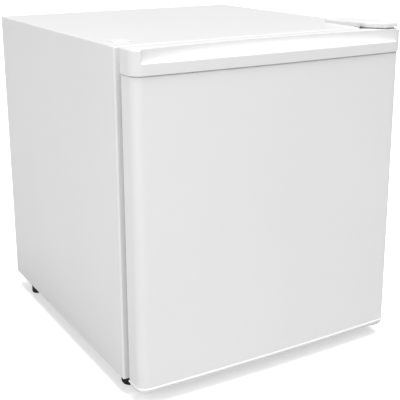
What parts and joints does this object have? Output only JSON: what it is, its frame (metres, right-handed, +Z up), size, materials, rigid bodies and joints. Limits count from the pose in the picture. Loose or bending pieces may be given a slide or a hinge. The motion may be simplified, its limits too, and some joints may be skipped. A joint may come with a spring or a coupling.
{
  "type": "mini fridge",
  "caption": "Boxy table-top refrigerator with a bowed hinged door, a finger recess along the door's top edge, inner icebox, wire shelf, door racks, and rear condenser and compressor.",
  "frame": {"origin": "on the floor, under the middle of the whole fridge's box", "axes": "+X to the right of someone facing the door, +Y from the door to the back, +Z up"},
  "size_m": [0.44, 0.507, 0.4914],
  "materials": {
    "white_enamel": "satin",
    "white_abs": "satin",
    "liner_hips": "gloss",
    "rack_plastic": "satin",
    "clear_plastic": "gloss",
    "gasket_vinyl": "matte",
    "ferrite_strip": "matte",
    "rigid_foam": "matte",
    "galvanised_sheet": "satin",
    "zinc_steel": "satin",
    "black_enamel": "satin",
    "copper": "satin",
    "aluminium_sheet": "satin",
    "nylon": "matte",
    "black_plastic": "matte",
    "black_rubber": "matte",
    "coated_wire": "gloss"
  },
  "bodies": {
    "cabinet": {"back_panel": "galvanised_sheet", "bottom_hinge_bracket": "zinc_steel", "bottom_hinge_pin": "zinc_steel", "bottom_pan": "galvanised_sheet", "capillary_tube": "copper", "compressor_bolts": "zinc_steel", "compressor_feet": "galvanised_sheet", "compressor_grommets": "black_rubber", "compressor_plate": "galvanised_sheet", "compressor_shell": "black_enamel", "condenser_clips": "black_plastic", "condenser_tube": "black_enamel", "condenser_wires": "black_enamel", "cord_gland": "black_rubber", "discharge_pipe": "copper", "filter_dryer": "copper", "foam_insulation": "rigid_foam", "foot_nuts": "zinc_steel", "front_rail": "white_enamel", "hinge_cover": "white_abs", "hinge_screws": "zinc_steel", "icebox_frame": "rack_plastic", "icebox_shell": "aluminium_sheet", "icebox_spacers": "rack_plastic", "inner_liner": "liner_hips", "left_hinge_blank": "white_abs", "liquid_pipe": "copper", "outer_wrap": "white_enamel", "rear_foot_left": "black_plastic", "rear_foot_right": "black_plastic", "relay_cover": "black_plastic", "sensing_bulb": "copper", "suction_pipe": "copper", "thermostat_housing": "rack_plastic", "thermostat_switch": "zinc_steel", "top_hinge_bracket": "zinc_steel", "top_hinge_pin": "zinc_steel", "tray_rail_left": "rack_plastic", "tray_rail_right": "rack_plastic"},
    "door": {"door_panel": "white_enamel", "door_top_cap": "white_abs", "door_bottom_cap": "white_abs", "top_door_bush": "nylon", "bottom_door_bush": "nylon", "spare_bore_plugs": "white_abs", "door_liner": "liner_hips", "door_foam": "rigid_foam", "door_gasket": "gasket_vinyl", "gasket_magnet": "ferrite_strip", "lower_door_rack": "rack_plastic", "upper_door_rack": "rack_plastic"},
    "icebox_flap": {"icebox_flap": "rack_plastic"},
    "drip_tray": {"drip_tray": "clear_plastic"},
    "wire_shelf": {"wire_shelf": "coated_wire"},
    "thermostat_knob": {"thermostat_knob": "rack_plastic", "thermostat_shaft": "zinc_steel"},
    "foot_left": {"front_foot_left": "black_plastic", "foot_stud_left": "zinc_steel"},
    "foot_right": {"front_foot_right": "black_plastic", "foot_stud_right": "zinc_steel"}
  },
  "joints": [
    {"name": "door_hinge", "type": "hinge", "parent": "cabinet", "child": "door", "pos_m": [0.2, -0.2305, 0.25], "axis": [0, 0, 1], "range_deg": [0, 120]},
    {"name": "icebox_flap_hinge", "type": "hinge", "parent": "cabinet", "child": "icebox_flap", "pos_m": [-0.0425, -0.0795, 0.431], "axis": [-1, 0, 0], "range_deg": [0, 90]},
    {"name": "drip_tray_slide", "type": "slide", "parent": "cabinet", "child": "drip_tray", "axis": [0, -1, 0], "range_m": [0, 0.08]},
    {"name": "wire_shelf_slide", "type": "slide", "parent": "cabinet", "child": "wire_shelf", "axis": [0, -1, 0], "range_m": [0, 0.065]},
    {"name": "thermostat_turn", "type": "hinge", "parent": "cabinet", "child": "thermostat_knob", "pos_m": [0.143, -0.0645, 0.416], "axis": [0, 1, 0], "range_deg": [0, 270]},
    {"name": "left_foot_turn", "type": "hinge", "parent": "cabinet", "child": "foot_left", "pos_m": [-0.194, -0.1725, 0.02], "axis": [0, 0, 1], "range_deg": [0, 1800]},
    {"name": "right_foot_turn", "type": "hinge", "parent": "cabinet", "child": "foot_right", "pos_m": [0.194, -0.1725, 0.02], "axis": [0, 0, 1], "range_deg": [0, 1800]}
  ]
}
